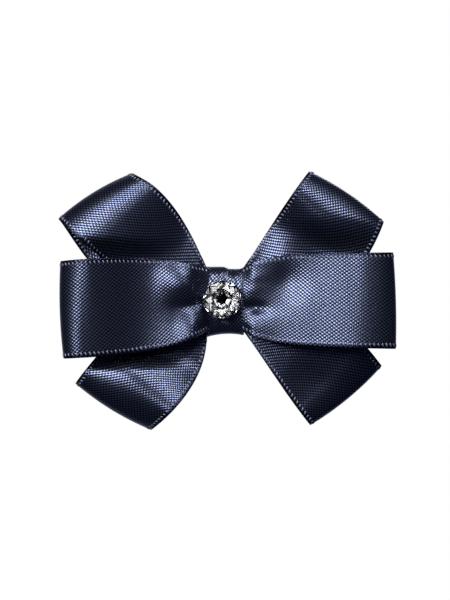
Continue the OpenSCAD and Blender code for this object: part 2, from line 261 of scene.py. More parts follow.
# What each loop's entries say, in millimetres and degrees. side is -1 left and 1 right, upright
# is 1 above, -1 below and 0 level, and lean is the way its weave slants. nose is the length of
# its rounded end, offset the hand-tied shift of that end, tilt its slope, share its part of the
# ribbon's width and bow its outward curve. upper and lower hold the handles of the two selvages,
# at the knot and at the nose. front and back are the depths of the two layers at places along
# the loop, from 0 at the knot to 1 at the nose. slip moves the back layer sideways, and twist
# brings the upper selvage forward. A puff is a soft swelling: its place along and across, its
# height and its two widths. Past free_z a crossed loop comes forward by lift, over the distance
# spread and over the ramp along it.
front_left = dict(
    twist=0.8, nose=4.4, lean=-1, side=-1, upright=0, offset=(0.7, -2.4), tilt=91.8, share=1.00, bow=0.5,
    upper=((-9.8, 2.4), (12.9, 1.2)), lower=((-7.8, -4.8), (12.2, 0.6)), slip=(0, 0),
    front=((0, -6.9), (0.12, -8.3), (0.28, -8.8), (0.5, -9.3), (0.85, -12.9)),
    back=((0, -5.2), (0.42, -5.57), (0.85, -5.3)),
    puffs=((0.20, 0.48, 1.7, 0.11, 0.34), (0.10, -0.85, 1.4, 0.12, 0.32), (0.03, -0.10, -1.1, 0.13, 0.13)))
front_right = dict(
    twist=-0.6, nose=5.0, lean=1, side=1, upright=0, offset=(0.8, -0.3), tilt=91.6, share=0.99, bow=0.3,
    upper=((5.8, 3.8), (-18.9, -0.4)), lower=((5.8, -3.6), (-19.5, 0.5)), slip=(0, 0),
    front=((0, -6.9), (0.25, -7.8), (0.6, -9.8), (1.0, -12.5)),
    back=((0, -5.2), (0.42, -5.57), (0.85, -5.3)),
    puffs=((0.43, 0.42, -1.1, 0.09, 0.30), (0.12, 0.55, 0.4, 0.10, 0.30), (0.20, -0.70, 0.25, 0.13, 0.28),
           (0.06, -0.22, -1.4, 0.13, 0.13)))
upper_left = dict(
    twist=0, nose=7.0, lean=-1, side=-1, upright=1, offset=(-2, 0.2), tilt=31.6, share=0.90, bow=0.9,
    upper=((-3.8, 8.8), (8.6, -3.9)), lower=((-9.8, 3.2), (11.5, -10.5)), slip=(-1.9, -3.1),
    front=((0, -4.45), (0.5, -4.62), (0.84, -4.7)), back=((0, -3.7), (0.42, -3.73), (0.72, 3.0), (0.84, 3.3)),
    puffs=(), free_z=8.6, lift=3.6, spread=6.0, ramp=(0.3, 0.8))
upper_right = dict(
    twist=0, nose=8.5, lean=1, side=1, upright=1, offset=(0.2, 0.1), tilt=145.8, share=0.93, bow=0.8,
    upper=((4.8, 6.8), (-6.1, -7.9)), lower=((11.8, 2.2), (-6.5, -17.9)), slip=(0, 0),
    front=((0, -2.95), (0.5, -3.9), (0.84, -4.7)), back=((0, -2.2), (0.5, -2.2), (0.84, 3.3)),
    puffs=((0.42, 0.15, 1.0, 0.12, 0.45), (0.36, 1.0, -0.6, 0.14, 0.50), (0.66, 0.1, -0.8, 0.10, 0.5)),
    free_z=10.2, lift=3.6, spread=9.0, ramp=(0.45, 0.85))
lower_left = dict(
    twist=-1.6, nose=8.0, lean=1, side=-1, upright=-1, offset=(2.1, -1.1), tilt=148.5, share=0.92, bow=0.8,
    upper=((-9.8, -2.2), (8.5, 11.3)), lower=((0.6, -7.8), (8.7, 6.9)), slip=(0, 0),
    front=((0, -2.95), (0.5, -3.9), (0.84, -4.7)), back=((0, -2.2), (0.5, -2.2), (0.84, 3.3)),
    puffs=((0.84, 0.25, 1.0, 0.13, 0.55),), free_z=-12.6, lift=3.2, spread=4.0, ramp=(0.35, 0.8))
lower_right = dict(
    twist=0, nose=5.0, lean=-1, side=1, upright=-1, offset=(0.1, 1.4), tilt=39.6, share=0.96, bow=0.8,
    upper=((10.8, -1.2), (-8.6, 11.3)), lower=((5.3, -7.3), (-5.8, 7.3)), slip=(0, 0),
    front=((0, -4.45), (0.5, -4.62), (0.84, -4.0)), back=((0, -3.7), (0.5, -3.73), (0.84, 3.3)),
    puffs=(), free_z=-10.8, lift=-0.6, spread=9.0, ramp=(0.3, 0.9))


def eased(low, high, value):
    """0 below low, 1 above high, and a smooth rise between."""
    part = np.clip((value - low) / (high - low), 0, 1)
    return part * part * (3 - 2 * part)


def through(points, value):
    """A smooth curve through points (place, height) that never swings past them."""
    places, heights = np.array(points, float).T
    steps = np.diff(heights) / np.diff(places)
    slopes = np.gradient(heights, places)
    steepest = 3 * np.minimum(np.abs(steps[:-1]), np.abs(steps[1:])) * (steps[:-1] * steps[1:] > 0)
    slopes[1:-1] = np.clip(slopes[1:-1], -steepest, steepest)
    slopes[-1] = 0
    cell = np.clip(np.searchsorted(places, value) - 1, 0, len(places) - 2)
    width = places[cell + 1] - places[cell]
    part = np.clip((value - places[cell]) / width, 0, 1)
    rise = heights[cell + 1] - heights[cell]
    start = slopes[cell] * width
    end = slopes[cell + 1] * width
    return (heights[cell] + start * part + (3 * rise - 2 * start - end) * part ** 2
            + (start + end - 2 * rise) * part ** 3)


def bezier(a, b, c, d, t):
    """A cubic curve from a to d with handles b and c."""
    return (1 - t) ** 3 * a + 3 * t * (1 - t) ** 2 * b + 3 * t * t * (1 - t) * c + t ** 3 * d


def bell(distance):
    """1 at no distance, falling away smoothly on both sides."""
    return np.exp(-distance ** 2 / 2)


def loop_surface(loop):
    """Rings of points of one loop, in millimetres: out along the front layer, round its nose,
    and back along the rear layer. The first axis is the ring, the second goes across."""
    side, upright = loop["side"], loop["upright"]
    reach = FRONT_REACH if upright == 0 else math.hypot(CROSS_REACH, CROSS_RISE)
    nose = loop["nose"] / (reach - KNOT_X)
    out = np.linspace(0, 1 - nose, ALONG_STEPS, endpoint=False)
    turn = np.linspace(0, math.pi, NOSE_STEPS + 1)
    p = np.concatenate([out, 1 - nose + nose * np.sin(turn), out[::-1]])[:, None]
    k = np.concatenate([-np.ones(ALONG_STEPS), -np.cos(turn), np.ones(ALONG_STEPS)])[:, None]
    v = np.linspace(-1, 1, ACROSS_STEPS + 1)[None, :]

    tilt = math.radians(loop["tilt"])
    centre_x = side * (FRONT_REACH if upright == 0 else CROSS_REACH) + loop["offset"][0]
    centre_z = upright * CROSS_RISE + loop["offset"][1]

    def selvage(end):
        """One edge's line in x and z: 1 is the upper edge and -1 the lower."""
        corner_x = centre_x + end * loop["share"] * RIBBON_W / 2 * math.cos(tilt)
        corner_z = centre_z + end * loop["share"] * RIBBON_W / 2 * math.sin(tilt)
        near, far = loop["upper"] if end > 0 else loop["lower"]
        knot_x, knot_z = side * KNOT_X, end * GATHER_H / 2
        return (bezier(knot_x, knot_x + near[0], corner_x + far[0], corner_x, p),
                bezier(knot_z, knot_z + near[1], corner_z + far[1], corner_z, p))

    upper, lower = selvage(1), selvage(-1)
    share = (v + 1) / 2
    outward = tilt - side * math.pi / 2
    bow = loop["bow"] * (1 - v * v) * p ** 4
    slip = (k + 1) / 2 * 4 * p * (1 - p)
    x = lower[0] + (upper[0] - lower[0]) * share + bow * math.cos(outward) + slip * loop["slip"][0]
    z = lower[1] + (upper[1] - lower[1]) * share + bow * math.sin(outward) + slip * loop["slip"][1]

    front = through(loop["front"], p) + 0 * v
    clear_of_knot = eased(-0.04, 0.14, p)
    for along, across, height, length, width in loop["puffs"]:
        swelling = height * bell((p - along) / length) * bell((v - across) / width)
        front = front - swelling * clear_of_knot
    pleats = PLEAT_DEPTH * np.cos(PLEAT_TURNS * v + 1.3 * side) * bell((p - 0.08) / 0.11)
    front = front - pleats * eased(-0.05, 0.06, p)
    front = front - loop["twist"] * v * eased(0.3, 0.7, p) * eased(1.0, 0.8, p)
    back = through(loop["back"], p) + 0 * v
    if upright:
        free = eased(0, loop["spread"], (z - loop["free_z"]) * upright) * eased(*loop["ramp"], p)
        front = front - loop["lift"] * free
    rounding = SELVAGE_FALL * np.abs(v) ** 4 * (1 - eased(0, 0.12, p))
    y = (front + back) / 2 + k * (back - front) / 2 + rounding
    return np.stack([x, y, z], axis=2)


def ribbon_rings(right, left, knot_y):
    """All rings of a ribbon: the right loop, a pinched strip in the knot, the left loop the
    other way round, and a second pinched strip. Also the two loops by themselves."""
    first = loop_surface(right)
    second = loop_surface(left)[::-1]

    def inside(start, end, sink):
        """The rings between two loops, squeezed and sunk under the wrap."""
        strips = []
        for part in np.linspace(0, 1, KNOT_STEPS)[1:-1]:
            pinch = math.sin(math.pi * part) ** 0.5
            strip = start + (end - start) * part
            strip[:, 1] = strip[:, 1] + sink * pinch
            strip[:, 2] = strip[:, 2] * (1 - KNOT_SQUEEZE * pinch)
            strips.append(strip)
        return np.array(strips)

    sink = -LAYER_PITCH / 2 + knot_y - right["front"][0][1]
    back_strip = inside(first[-1], second[0], 0)
    front_strip = inside(second[-1], first[0], sink)
    rings = np.concatenate([first, back_strip, second, front_strip])
    lean = np.where(np.arange(len(rings)) < len(first), right["lean"], left["lean"])
    return rings, lean, (first, second)


def surface_normals(rings, closed):
    """Unit normals of a sheet given as rings of points, pointing out of its loops."""
    if closed:
        along = np.roll(rings, -1, axis=0) - np.roll(rings, 1, axis=0)
    else:
        along = np.gradient(rings, axis=0)
    across = np.gradient(rings, axis=1)
    normals = np.cross(along, across)
    return normals / np.linalg.norm(normals, axis=2, keepdims=True)


def sheet_mesh(name, rings, thickness, lean):
    """A closed band of cloth with rounded selvages. Its UV map holds metres along and across,
    and lean is -1 for the rings whose weave slants the other way."""
    count, points, _ = rings.shape
    normals = surface_normals(rings, True)
    across = np.gradient(rings, axis=1)
    across = across / np.linalg.norm(across, axis=2, keepdims=True)
    half = thickness / 2

    def rounded_edge(place, way):
        """Rows of points that take half a circle round one selvage."""
        rows = []
        for turn in np.linspace(0, math.pi, EDGE_STEPS + 2)[1:-1]:
            outward = math.cos(turn) * normals[:, place] + math.sin(turn) * across[:, place]
            rows.append(rings[:, place] + way * half * outward)
        return rows

    outside = [rings + half * normals]
    inside = [(rings - half * normals)[:, ::-1]]
    section = np.concatenate(outside + rounded_edge(slice(-1, None), 1)
                             + inside + rounded_edge(slice(0, 1), -1), axis=1)
    size = section.shape[1]

    width = np.linalg.norm(np.diff(rings, axis=1), axis=2).sum(axis=1)
    widest = width.max()
    flat_v = np.linspace(-0.5, 0.5, points) * (RIBBON_W if widest > RIBBON_W / 2 else widest)
    section_v = np.concatenate([flat_v, [flat_v[-1]] * EDGE_STEPS, flat_v[::-1], [flat_v[0]] * EDGE_STEPS])
    gathered = (width / widest) ** 0.6
    middle = rings[:, points // 2]
    steps = np.linalg.norm(np.roll(middle, -1, axis=0) - middle, axis=1)
    section_u = np.concatenate([[0], np.cumsum(steps)])

    ring, column = np.meshgrid(np.arange(count), np.arange(size), indexing="ij")
    ring, column = ring.ravel(), column.ravel()
    next_ring, next_column = (ring + 1) % count, (column + 1) % size
    corners = np.stack([ring * size + column, next_ring * size + column,
                        next_ring * size + next_column, ring * size + next_column], axis=1)
    u = section_u[np.stack([ring, ring + 1, ring + 1, ring], axis=1)]
    v = section_v[np.stack([column, column, next_column, next_column], axis=1)]
    v = v * gathered[np.stack([ring, next_ring, next_ring, ring], axis=1)]
    v = v * lean[ring][:, None]

    mesh = bpy.data.meshes.new(name)
    mesh.from_pydata((section.reshape(-1, 3) * MM).tolist(), [], corners.tolist())
    weave = mesh.uv_layers.new(name="weave")
    weave.data.foreach_set("uv", (np.stack([u, v], axis=2) * MM).astype(np.float32).ravel())
    mesh.shade_smooth()
    cloth = bpy.data.objects.new(name, mesh)
    scene.collection.objects.link(cloth)
    shape = bmesh.new()
    shape.from_mesh(mesh)
    if shape.calc_volume(signed=True) < 0:
        bmesh.ops.reverse_faces(shape, faces=shape.faces)
    shape.to_mesh(mesh)
    shape.free()
    return cloth, float(section_u[-1]) * MM


def satin(name, gloss=1.0):
    """Satin: glossy floats in two slanting rows over dark gaps, a little uneven along the warp."""
    material, nodes, shader = new_material(name)
    weave = nodes.add("ShaderNodeUVMap", {"uv_map": "weave"})
    u = nodes.part(weave, 0) * 1000
    v = nodes.part(weave, 1) * 1000
    place = nodes.add("ShaderNodeTexCoord", output="Object")
    drift = nodes.noise(place, 180.0) * 1.6
    rows = []
    for slant, pitch in ((50, 0.63), (-57, 0.66)):
        turn = 2 * math.pi / pitch
        across = u * (turn * math.cos(math.radians(slant))) + v * (turn * math.sin(math.radians(slant)))
        rows.append((across + drift).sin())
    lattice = rows[0] * 0.32 + rows[1] * 0.22 + 0.5
    floats = lattice.above(0.5, 0.9)
    streaks = nodes.noise(nodes.vector(u * 0.5, v * 5.0, 0.0), 1.0, 3.0)
    bare_edge = v.math("ABSOLUTE").above(RIBBON_W / 2 - 0.9, 0.3)
    lit = floats ** 1.4 * (streaks * 0.9 + 0.55) * (1 - bare_edge * 0.75)
    colour = nodes.mix_colour(lit, (0.004, 0.005, 0.018, 1),
                              (0.214 * gloss, 0.250 * gloss, 0.388 * gloss, 1))
    bump = nodes.add("ShaderNodeBump", {}, {"Strength": 0.8, "Distance": 0.06 * MM,
                                            "Height": floats + streaks * 0.2})
    finish_shader(nodes, shader, Base_Color=colour, Metallic=0.94, Roughness=0.37 - floats * 0.09,
                  Specular_IOR_Level=0.3, Normal=bump)
    return material


def cord_material(name):
    """The twisted edge yarn, in the satin's dye but painted much lighter all over as a painted sheen, and
    mottled at random.
    """
    material, nodes, shader = new_material(name)
    place = nodes.add("ShaderNodeTexCoord", output="Object")
    fuzz = nodes.noise(place, 2600.0)
    tone = nodes.noise(place, 300.0)
    # The light end of this mix is a painted sheen; tone and fuzz only mottle it at random.
    colour = nodes.mix_colour(tone * 0.6 + fuzz * 0.4, (0.12, 0.135, 0.24, 1), (0.46, 0.49, 0.66, 1))
    bump = nodes.add("ShaderNodeBump", {}, {"Strength": 0.5, "Distance": 0.03 * MM, "Height": fuzz})
    finish_shader(nodes, shader, Base_Color=colour, Metallic=0.7, Roughness=0.42 + fuzz * 0.15, Normal=bump)
    return material


def new_tree(name, inputs, output):
    """An empty Geometry Nodes tree: returns its nodes and its inputs' terms by name."""
    tree = bpy.data.node_groups.new(name, "GeometryNodeTree")
    for label, kind in inputs.items():
        tree.interface.new_socket(name=label, in_out="INPUT", socket_type="NodeSocket" + kind)
    tree.interface.new_socket(name=output, in_out="OUTPUT", socket_type="NodeSocketGeometry")
    nodes = Nodes(tree)
    entry = tree.nodes.new("NodeGroupInput")
    return nodes, {label: Term(nodes, entry.outputs[label]) for label in inputs}


def finish_tree(nodes, geometry, material):
    """Ends a tree in real geometry with its material on, and returns the tree."""
    real = nodes.add("GeometryNodeRealizeInstances", {}, {"Geometry": geometry})
    done = nodes.add("GeometryNodeSetMaterial", {}, {"Geometry": real, "Material": material})
    nodes.add("NodeGroupOutput", {}, {0: done})
    return nodes.tree


def grown(name, tree, base, values):
    """Runs a Geometry Nodes tree once on a base mesh and keeps the result as a plain mesh."""
    holder = bpy.data.objects.new(name, base)
    modifier = holder.modifiers.new(name, "NODES")
    modifier.node_group = tree
    for socket in tree.interface.items_tree:
        if socket.in_out == "INPUT" and socket.name in values:
            modifier[socket.identifier] = values[socket.name]
    scene.collection.objects.link(holder)
    graph = bpy.context.evaluated_depsgraph_get()
    mesh = bpy.data.meshes.new_from_object(holder.evaluated_get(graph), depsgraph=graph)
    holder.modifiers.remove(modifier)
    holder.data = mesh
    return holder


def stitch_tree():
    """Short slanting bars set along guide lines: the selvage yarn where it turns at the edge."""
    nodes, given = new_tree("selvage_stitches", {
        "Guide": "Geometry", "Pitch": "Float", "Length": "Float", "Width": "Float", "Height": "Float",
        "Slant": "Float", "Yarn": "Material"}, "Stitches")
    curve = nodes.add("GeometryNodeMeshToCurve", {}, {"Mesh": given["Guide"]})
    spaced = nodes.add("GeometryNodeResampleCurve", {"mode": "LENGTH"},
                       {"Curve": curve, "Length": given["Pitch"]})
    bar = nodes.add("GeometryNodeMeshUVSphere", {}, {"Segments": 8, "Rings": 5, "Radius": 1.0})
    half = nodes.vector(given["Length"] * 0.5, given["Width"] * 0.5, given["Height"] * 0.5)
    bar = nodes.add("GeometryNodeTransform", {}, {"Geometry": bar, "Scale": half})
    bar = nodes.add("GeometryNodeSetShadeSmooth", {}, {"Geometry": bar})
    across = nodes.add("GeometryNodeInputNamedAttribute", {"data_type": "FLOAT_VECTOR"}, {"Name": "across"})
    facing = nodes.add("GeometryNodeInputNamedAttribute", {"data_type": "FLOAT_VECTOR"}, {"Name": "facing"})
    uneven = nodes.add("FunctionNodeRandomValue", {"data_type": "FLOAT"}, {2: -0.12, 3: 0.12, "Seed": 7}, 1)
    turn = nodes.add("FunctionNodeAxesToRotation", {"primary_axis": "Z", "secondary_axis": "X"},
                     {"Primary Axis": facing, "Secondary Axis": across})
    lean = nodes.vector(0.0, 0.0, given["Slant"] + uneven)
    lean = nodes.add("FunctionNodeEulerToRotation", {}, {"Euler": lean})
    turn = nodes.add("FunctionNodeRotateRotation", {"rotation_space": "LOCAL"},
                     {"Rotation": turn, "Rotate By": lean})
    size = nodes.add("FunctionNodeRandomValue", {"data_type": "FLOAT"}, {2: 0.85, 3: 1.12, "Seed": 3}, 1)
    set_on = nodes.add("GeometryNodeInstanceOnPoints", {}, {
        "Points": spaced, "Instance": bar, "Rotation": turn, "Scale": nodes.vector(size, size, 1.0)})
    return finish_tree(nodes, set_on, given["Yarn"])


def selvage_guides(name, surfaces, inset):
    """Lines just inside both edges of open sheets, which carry the edge's directions."""
    points, lines, across_list, facing_list = [], [], [], []
    for surface in surfaces:
        normals = surface_normals(surface, False)
        across = np.gradient(surface, axis=1)
        across = across / np.linalg.norm(across, axis=2, keepdims=True)
        for edge, way in ((0, -1), (-1, 1)):
            start = len(points)
            line = surface[:, edge] - way * inset * across[:, edge]
            points.extend((line * MM).tolist())
            lines.extend((start + i, start + i + 1) for i in range(len(line) - 1))
            across_list.append(way * across[:, edge])
            facing_list.append(normals[:, edge])
    mesh = bpy.data.meshes.new(name)
    mesh.from_pydata(points, lines, [])
    for label, rows in (("across", across_list), ("facing", facing_list)):
        attribute = mesh.attributes.new(label, "FLOAT_VECTOR", "POINT")
        attribute.data.foreach_set("vector", np.concatenate(rows).astype(np.float32).ravel())
    return mesh


stitches = stitch_tree()
edge_yarn = cord_material("selvage_yarn")
satin_cloth = satin("navy_satin")
STITCH_INSET = 0.72
STITCH = {"Pitch": 1.0 * MM, "Length": 1.1 * MM, "Width": 0.52 * MM, "Height": 0.56 * MM,
          "Slant": math.radians(24), "Yarn": edge_yarn}


def make_ribbon(name, right, left, knot_y):
    """One looped ribbon with its edge yarn. knot_y is the depth of its layers in the knot."""
    rings, lean, loops = ribbon_rings(right, left, knot_y)
    cloth, length = sheet_mesh(name + "_satin", rings, RIBBON_T, lean)
    cloth.data.materials.append(satin_cloth)
    guides = selvage_guides(name + "_guides", loops, STITCH_INSET)
    edging = grown(name + "_selvage", stitches, guides, STITCH)
    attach(cloth, "bow")
    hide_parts(name)
    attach(edging, "bow")


make_ribbon("front_ribbon", front_right, front_left, FRONT_Y)
make_ribbon("falling_ribbon", lower_right, upper_left, FALLING_Y)
make_ribbon("rising_ribbon", upper_right, lower_left, RISING_Y)


# Gathering thread: two-ply polyester sewing thread, wound four times round the gathers and
# pulled tight under the wrap.
def round_wire(nodes, count, place, sides, radius):
    """A round wire through as many points as count says, each where the formula puts its index."""
    line = nodes.add("GeometryNodeMeshLine", {}, {"Count": count})
    line = nodes.add("GeometryNodeMeshToCurve", {}, {"Mesh": line})
    line = nodes.add("GeometryNodeSetPosition", {}, {"Geometry": line, "Position": place})
    ring = nodes.add("GeometryNodeCurvePrimitiveCircle", {}, {"Resolution": sides, "Radius": radius})
    return nodes.add("GeometryNodeCurveToMesh", {}, {"Curve": line, "Profile Curve": ring, "Fill Caps": True})


def thread_tree():
    """Winds two plies along rounded turns, each with its own phase of the twist."""
    nodes, given = new_tree("wound_thread", {
        "Points": "Int", "Turns": "Float", "Pitch": "Float", "Middle Y": "Float", "Half Y": "Float",
        "Half Z": "Float", "Corner": "Float", "Ply Radius": "Float", "Twist Radius": "Float",
        "Twists": "Float", "Yarn": "Material"}, "Thread")
    count = given["Points"]
    part = nodes.add("GeometryNodeInputIndex") / (count - 1)
    angle = part * given["Turns"] * (2 * math.pi) + 0.13
    plies = []
    for phase in (0.0, math.pi):
        twist = part * given["Twists"] * (2 * math.pi) + phase
        out = twist.cos() * given["Twist Radius"]
        corner = given["Corner"] + out
        side_y = angle.cos().math("SIGN")
        side_z = angle.sin().math("SIGN")
        x = (part - 0.5) * given["Turns"] * given["Pitch"] + twist.sin() * given["Twist Radius"]
        y = given["Middle Y"] + angle.cos() * corner + side_y * (given["Half Y"] - given["Corner"])
        z = angle.sin() * corner + side_z * (given["Half Z"] - given["Corner"])
        plies.append(round_wire(nodes, count, nodes.vector(x, y, z), 5, given["Ply Radius"]))
    join = nodes.add("GeometryNodeJoinGeometry")
    for ply in plies:
        nodes.tree.links.new(ply.socket, join.socket.node.inputs[0])
    smooth = nodes.add("GeometryNodeSetShadeSmooth", {}, {"Geometry": join})
    return finish_tree(nodes, smooth, given["Yarn"])


thread_low, thread_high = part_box("gathering_thread")
THREAD_D = 0.3 * MM
PLY_R = 0.26 * THREAD_D
THREAD_HALF_Z = 6.5 * MM
thread = grown("gathering_thread_twisted", thread_tree(), bpy.data.meshes.new("thread_base"), {
    "Points": 1400, "Turns": 4.0, "Pitch": 1.3 * THREAD_D, "Middle Y": (thread_low.y + thread_high.y) / 2,
    "Half Y": (thread_high.y - thread_low.y - THREAD_D) / 2, "Half Z": THREAD_HALF_Z,
    "Corner": 2.0 * MM, "Ply Radius": PLY_R, "Twist Radius": 0.22 * THREAD_D, "Twists": 110.0,
    "Yarn": edge_yarn})
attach(thread, "bow")
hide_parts("gathering_thread")


# Centre wrap: a 10 mm satin ribbon laid round the gathers and the clip's arm, creased lengthways
# to the knot's width. It is pulled over rounded shoulders and its glued ends lap behind.
WRAP_W = 8.4
WRAP_T = 0.3
wrap_low, wrap_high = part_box("centre_wrap")
WRAP_TOP = wrap_high.z / MM - WRAP_T / 2
WRAP_FRONT = wrap_low.y / MM + WRAP_T / 2
WRAP_BACK = -0.70
WRAP_STEPS = 40
WRAP_HALF = WRAP_W / 2
# Half of the wrap's outline seen from the side, from the middle of its front to that of its back.
wrap_profile = [(0.0, WRAP_FRONT), (2.4, WRAP_FRONT + 0.04), (4.4, WRAP_FRONT + 0.28),
                (6.2, WRAP_FRONT + 1.05), (7.35, WRAP_FRONT + 2.3), (WRAP_TOP, WRAP_FRONT + 3.7),
                (7.2, -2.0), (6.0, -1.35), (4.95, -0.92), (4.2, WRAP_BACK), (2.0, WRAP_BACK),
                (0.0, WRAP_BACK)]


def smooth_outline(points, steps):
    """Evenly spaced points on a smooth closed curve through the given points."""
    points = np.array(points, float)
    count = len(points)
    fine = []
    for i in range(count):
        before, start, end, after = (points[(i + j) % count] for j in (-1, 0, 1, 2))
        for part in np.linspace(0, 1, 24, endpoint=False):
            fine.append(bezier(start, start + (end - before) / 6, end - (after - start) / 6, end, part))
    fine = np.array(fine)
    gaps = np.linalg.norm(np.roll(fine, -1, axis=0) - fine, axis=1)
    length = np.concatenate([[0], np.cumsum(gaps)])
    places = np.linspace(0, length[-1], steps, endpoint=False)
    closed = np.vstack([fine, fine[:1]])
    return np.stack([np.interp(places, length, closed[:, i]) for i in (0, 1)], axis=1)


outline = wrap_profile[:-1] + [(-z, y) for z, y in wrap_profile[:0:-1]]
outline = smooth_outline(outline, 8 * WRAP_STEPS)
x = np.linspace(-0.5, 0.5, WRAP_STEPS + 1)[None, :] * WRAP_W
z = outline[:, :1]
y = outline[:, 1:]
front_share = eased(-2.2, -5.0, y)
# The top is folded down a little, more on the right, and the bottom hangs lower at its sides.
fold = (0.35 + 0.5 * eased(-0.4, 1.2, x)) * eased(4.0, 7.4, z)
droop = (0.05 + 0.5 * (x / WRAP_HALF) ** 2 - 0.22 * x / WRAP_HALF) * eased(-5.5, -7.4, z)
# Shallow creases run up and down the front, and its edges stand slightly forward.
creases = (0.07 * np.sin(2.1 * x + 0.30 * z) + 0.05 * np.sin(3.7 * x - 0.22 * z + 1)) * front_share
edge_lift = 0.12 * np.abs(x / WRAP_HALF) ** 6 * front_share
wrap_z = z - fold - droop
wrap_y = y - creases - edge_lift
wrap_rings = np.stack([x + 0 * z, wrap_y, wrap_z], axis=2)[::-1]
wrap, wrap_length = sheet_mesh("centre_wrap_satin", wrap_rings, WRAP_T, np.ones(len(wrap_rings)))
wrap_cloth = satin("navy_satin_wrap", 1.25)
wrap.data.materials.append(wrap_cloth)
# The lapped end lies on the wrap's back and steps down to it past the first end.
LAP_Y = WRAP_BACK + 0.4
LAP_HALF = 3.25
LAP_TAIL = 0.75
LAP_STEP = 0.36
LAP_ROWS = 33
LAP_COLUMNS = 13
lap_z = np.linspace(-LAP_HALF, LAP_HALF + LAP_TAIL, LAP_ROWS)
lap_x = np.linspace(-0.5, 0.5, LAP_COLUMNS) * WRAP_W
lap_y = LAP_Y - LAP_STEP * eased(LAP_HALF - 0.25, LAP_HALF + LAP_TAIL, lap_z)
lap_points = [(across * MM, depth * MM, along * MM) for depth, along in zip(lap_y, lap_z) for across in lap_x]
lap_faces = []
for row in range(LAP_ROWS - 1):
    for column in range(LAP_COLUMNS - 1):
        near = row * LAP_COLUMNS + column
        far = near + LAP_COLUMNS
        lap_faces.append((far, far + 1, near + 1, near))
lap_mesh = bpy.data.meshes.new("centre_wrap_lap")
lap_mesh.from_pydata(lap_points, [], lap_faces)
lap_weave = lap_mesh.uv_layers.new(name="weave")
for corner, vertex in zip(lap_weave.data, lap_mesh.loops):
    corner.uv = (lap_points[vertex.vertex_index][2], lap_points[vertex.vertex_index][0])
lap_mesh.materials.append(wrap_cloth)
lap_mesh.shade_smooth()
lap = bpy.data.objects.new("centre_wrap_lap", lap_mesh)
lap_wall = lap.modifiers.new("cloth", "SOLIDIFY")
lap_wall.thickness = WRAP_T * MM
lap_wall.offset = 0
scene.collection.objects.link(lap)
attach(lap, "bow")
WRAP_STITCH_INSET = 0.35
WRAP_STITCH = {**STITCH, "Length": 0.8 * MM, "Width": 0.34 * MM, "Height": 0.4 * MM, "Pitch": 0.85 * MM}
wrap_guides = selvage_guides("centre_wrap_guides", [wrap_rings], WRAP_STITCH_INSET)
wrap_edges = grown("centre_wrap_selvage", stitches, wrap_guides, WRAP_STITCH)
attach(wrap, "bow")
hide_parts("centre_wrap")
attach(wrap_edges, "bow")


# Glue: clear hot-melt that seats the gathers, closes the wrap behind and beds the stone.
glue, nodes, shader = new_material("hot_melt_glue")
place = nodes.add("ShaderNodeTexCoord", output="Object")
cloud = nodes.noise(place, 700.0, 4.0)
pull = nodes.noise(place, 260.0)
bump = nodes.add("ShaderNodeBump", {}, {"Strength": 0.6, "Distance": 0.12 * MM, "Height": pull})
finish_shader(nodes, shader, Roughness=0.22 + cloud * 0.2, Normal=bump, Transmission_Weight=0.35, IOR=1.48,
              Base_Color=nodes.mix_colour(cloud, (0.62, 0.60, 0.52, 1), (0.82, 0.80, 0.74, 1)))

for node in ("seat_glue", "wrap_glue", "stone_glue"):
    bed = frame["nodes"][node]
    bed.data.materials.clear()
    bed.data.materials.append(glue)


# Stone: a round glass stone cut in the brilliant style, its back coated with bright foil. The
# culet is flat and dark, the crown's facets throw the light.
STONE_X = -0.65
SIDES = 8
TABLE_R = 2.45
STAR_R = 3.45
STAR_DROP = 0.52
CROWN_H = 1.1
GIRDLE_T = 0.25
PAVILION_R = 3.0
PAVILION_DROP = 0.42
CULET_R = 1.15
FOIL_GAP = 0.03
stone_low, stone_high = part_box("stone")
GIRDLE_R = (stone_high.x - stone_low.x) / MM / 2
TABLE_Y = stone_low.y / MM
CULET_Y = stone_high.y / MM
GIRDLE_FRONT = TABLE_Y + CROWN_H
GIRDLE_BACK = GIRDLE_FRONT + GIRDLE_T


def ring_of(shape, count, radius, y, turn):
    """Corners on a circle round the stone's axis, turned by a part of their spacing."""
    return [shape.verts.new(((STONE_X + radius * math.cos(a)) * MM, y * MM, radius * math.sin(a) * MM))
            for a in (2 * math.pi * (i + turn) / count for i in range(count))]


def cut_facets(shape, inner, middle, girdle):
    """Star, kite and girdle facets, out to a girdle with twice the corners of the other rings."""
    for i in range(SIDES):
        after = (i + 1) % SIDES
        shape.faces.new([inner[i], inner[after], middle[i]])
        shape.faces.new([inner[after], middle[i], girdle[2 * after], middle[after]])
        shape.faces.new([middle[i], girdle[2 * i + 1], girdle[2 * after]])
        shape.faces.new([middle[i], girdle[2 * i], girdle[2 * i + 1]])


def finished(name, shape, material):
    """Turns a built shape into an object with its faces outwards and its material on."""
    bmesh.ops.remove_doubles(shape, verts=shape.verts, dist=1e-7)
    bmesh.ops.recalc_face_normals(shape, faces=shape.faces)
    mesh = bpy.data.meshes.new(name)
    shape.to_mesh(mesh)
    shape.free()
    mesh.materials.append(material)
    piece = bpy.data.objects.new(name, mesh)
    scene.collection.objects.link(piece)
    return piece


def back_of_stone(shape, grow, girdle):
    """The cut back between the girdle and the flat culet, whose corners it returns."""
    middle = ring_of(shape, SIDES, PAVILION_R + grow, GIRDLE_BACK + PAVILION_DROP + grow, 0.5)
    culet = ring_of(shape, SIDES, CULET_R + grow, CULET_Y + grow, 0)
    cut_facets(shape, culet, middle, girdle)
    return culet


